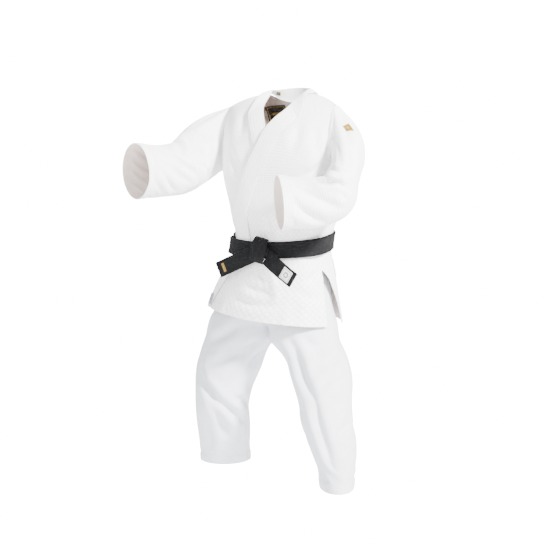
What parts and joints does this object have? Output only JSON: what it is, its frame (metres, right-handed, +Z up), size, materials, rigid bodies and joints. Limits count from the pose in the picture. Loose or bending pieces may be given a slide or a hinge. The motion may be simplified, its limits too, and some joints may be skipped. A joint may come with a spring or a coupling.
{
  "type": "martial arts uniform",
  "caption": "White woven cotton judo uniform standing as worn: crossed jacket with stuffed lapels, knotted black belt and wide trousers",
  "frame": {"origin": "centre of the neck opening, level with the shoulder tops, where the wearer's neck and shoulders hold the jacket up", "axes": "+Z up, the wearer faces -Y, the wearer's left is +X"},
  "size_m": [0.6328, 0.5151, 1.13],
  "materials": {
    "rice_weave": "rice-grain woven cotton, undyed white",
    "drill_cotton": "plain drill cotton, cool white",
    "belt_cotton": "black cotton with lengthwise stitch rows",
    "label_black": "woven satin label",
    "label_white": "woven label",
    "gold_thread": "embroidered thread"
  },
  "bodies": {
    "jacket": {"jacket_front_left": "rice_weave", "jacket_front_right": "rice_weave", "jacket_back": "rice_weave", "collar": "rice_weave", "lapel_left": "rice_weave", "lapel_right": "rice_weave", "neck_label": "label_black", "size_tab": "label_black", "waist_front_left": "rice_weave", "waist_front_right": "rice_weave", "waist_back": "rice_weave", "left_shoulder_gather": "rice_weave", "right_shoulder_gather": "rice_weave", "belt_first_turn": "belt_cotton", "belt_second_turn": "belt_cotton", "knot_crossing": "belt_cotton", "knot_wrap": "belt_cotton"},
    "left_upper_arm": {"left_upper_sleeve": "rice_weave", "left_elbow_gather": "rice_weave", "shoulder_mark": "gold_thread"},
    "left_forearm": {"left_lower_sleeve": "rice_weave", "left_cuff_hem": "rice_weave"},
    "right_upper_arm": {"right_upper_sleeve": "rice_weave", "right_elbow_gather": "rice_weave"},
    "right_forearm": {"right_lower_sleeve": "rice_weave", "right_cuff_hem": "rice_weave"},
    "skirt_front": {"skirt_front_left": "rice_weave", "skirt_front_right": "rice_weave", "skirt_lapel_left": "rice_weave", "skirt_lapel_right": "rice_weave", "hem_label": "label_white"},
    "skirt_rear": {"skirt_back": "rice_weave", "vent_patch_left": "rice_weave", "vent_patch_right": "rice_weave"},
    "left_tail": {"belt_end_left": "belt_cotton", "belt_end_patch": "label_white"},
    "right_tail": {"belt_end_right": "belt_cotton", "belt_end_bar": "gold_thread"},
    "trousers": {"trousers_seat_left": "drill_cotton", "trousers_seat_right": "drill_cotton", "trousers_waistband": "drill_cotton", "drawstring_eyelet_left": "drill_cotton", "drawstring_eyelet_right": "drill_cotton", "left_hip_gather": "drill_cotton", "right_hip_gather": "drill_cotton"},
    "left_leg": {"left_thigh": "drill_cotton", "left_knee_gather": "drill_cotton"},
    "left_calf": {"left_shin": "drill_cotton", "left_trouser_hem": "drill_cotton"},
    "right_leg": {"right_thigh": "drill_cotton", "right_knee_gather": "drill_cotton"},
    "right_calf": {"right_shin": "drill_cotton", "right_trouser_hem": "drill_cotton"}
  },
  "joints": [
    {"name": "left_shoulder_raise", "type": "hinge", "parent": "jacket", "child": "left_upper_arm", "pos_m": [0.155, 0, -0.113], "axis": [-0.8355, -0.5495, 0], "range_deg": [0, 18], "deforming": ["left_shoulder_gather"]},
    {"name": "left_elbow_bend", "type": "hinge", "parent": "left_upper_arm", "child": "left_forearm", "pos_m": [0.201, -0.118, -0.269], "axis": [-0.497, 0.649, -0.576], "range_deg": [-32, 0], "deforming": ["left_elbow_gather"]},
    {"name": "right_shoulder_raise", "type": "hinge", "parent": "jacket", "child": "right_upper_arm", "pos_m": [-0.203, 0, -0.113], "axis": [-0.9247, 0.3807, 0], "range_deg": [0, 18], "deforming": ["right_shoulder_gather"]},
    {"name": "right_elbow_bend", "type": "hinge", "parent": "right_upper_arm", "child": "right_forearm", "pos_m": [-0.254, -0.192, -0.197], "axis": [-0.936, 0.352, 0], "range_deg": [-10, 18], "deforming": ["right_elbow_gather"]},
    {"name": "skirt_front_swing", "type": "hinge", "parent": "jacket", "child": "skirt_front", "pos_m": [-0.03, -0.136, -0.4605], "axis": [-1, 0, 0], "range_deg": [0, 16]},
    {"name": "skirt_back_swing", "type": "hinge", "parent": "jacket", "child": "skirt_rear", "pos_m": [-0.03, 0.116, -0.4245], "axis": [1, 0, 0], "range_deg": [0, 20]},
    {"name": "left_tail_lift", "type": "hinge", "parent": "jacket", "child": "left_tail", "pos_m": [0.01355, -0.14936, -0.46072], "axis": [-0.53, 0, -0.848], "range_deg": [0, 40]},
    {"name": "right_tail_lift", "type": "hinge", "parent": "jacket", "child": "right_tail", "pos_m": [-0.05962, -0.14938, -0.45282], "axis": [-0.4205, 0, 0.9073], "range_deg": [0, 40]},
    {"name": "trousers_slide", "type": "slide", "parent": "jacket", "child": "trousers", "axis": [0, 0, -1], "range_m": [0, 0.3]},
    {"name": "left_hip_swing", "type": "hinge", "parent": "trousers", "child": "left_leg", "pos_m": [0.052, -0.004, -0.66], "axis": [-1, 0, 0], "range_deg": [-8, 18], "deforming": ["left_hip_gather"]},
    {"name": "left_knee_bend", "type": "hinge", "parent": "left_leg", "child": "left_calf", "pos_m": [0.164, -0.065, -0.904], "axis": [1, 0, 0], "range_deg": [-5, 24], "deforming": ["left_knee_gather"]},
    {"name": "right_hip_swing", "type": "hinge", "parent": "trousers", "child": "right_leg", "pos_m": [-0.162, 0, -0.66], "axis": [-1, 0, 0], "range_deg": [-8, 18], "deforming": ["right_hip_gather"]},
    {"name": "right_knee_bend", "type": "hinge", "parent": "right_leg", "child": "right_calf", "pos_m": [-0.21, -0.015, -0.904], "axis": [1, 0, 0], "range_deg": [-5, 24], "deforming": ["right_knee_gather"]}
  ]
}
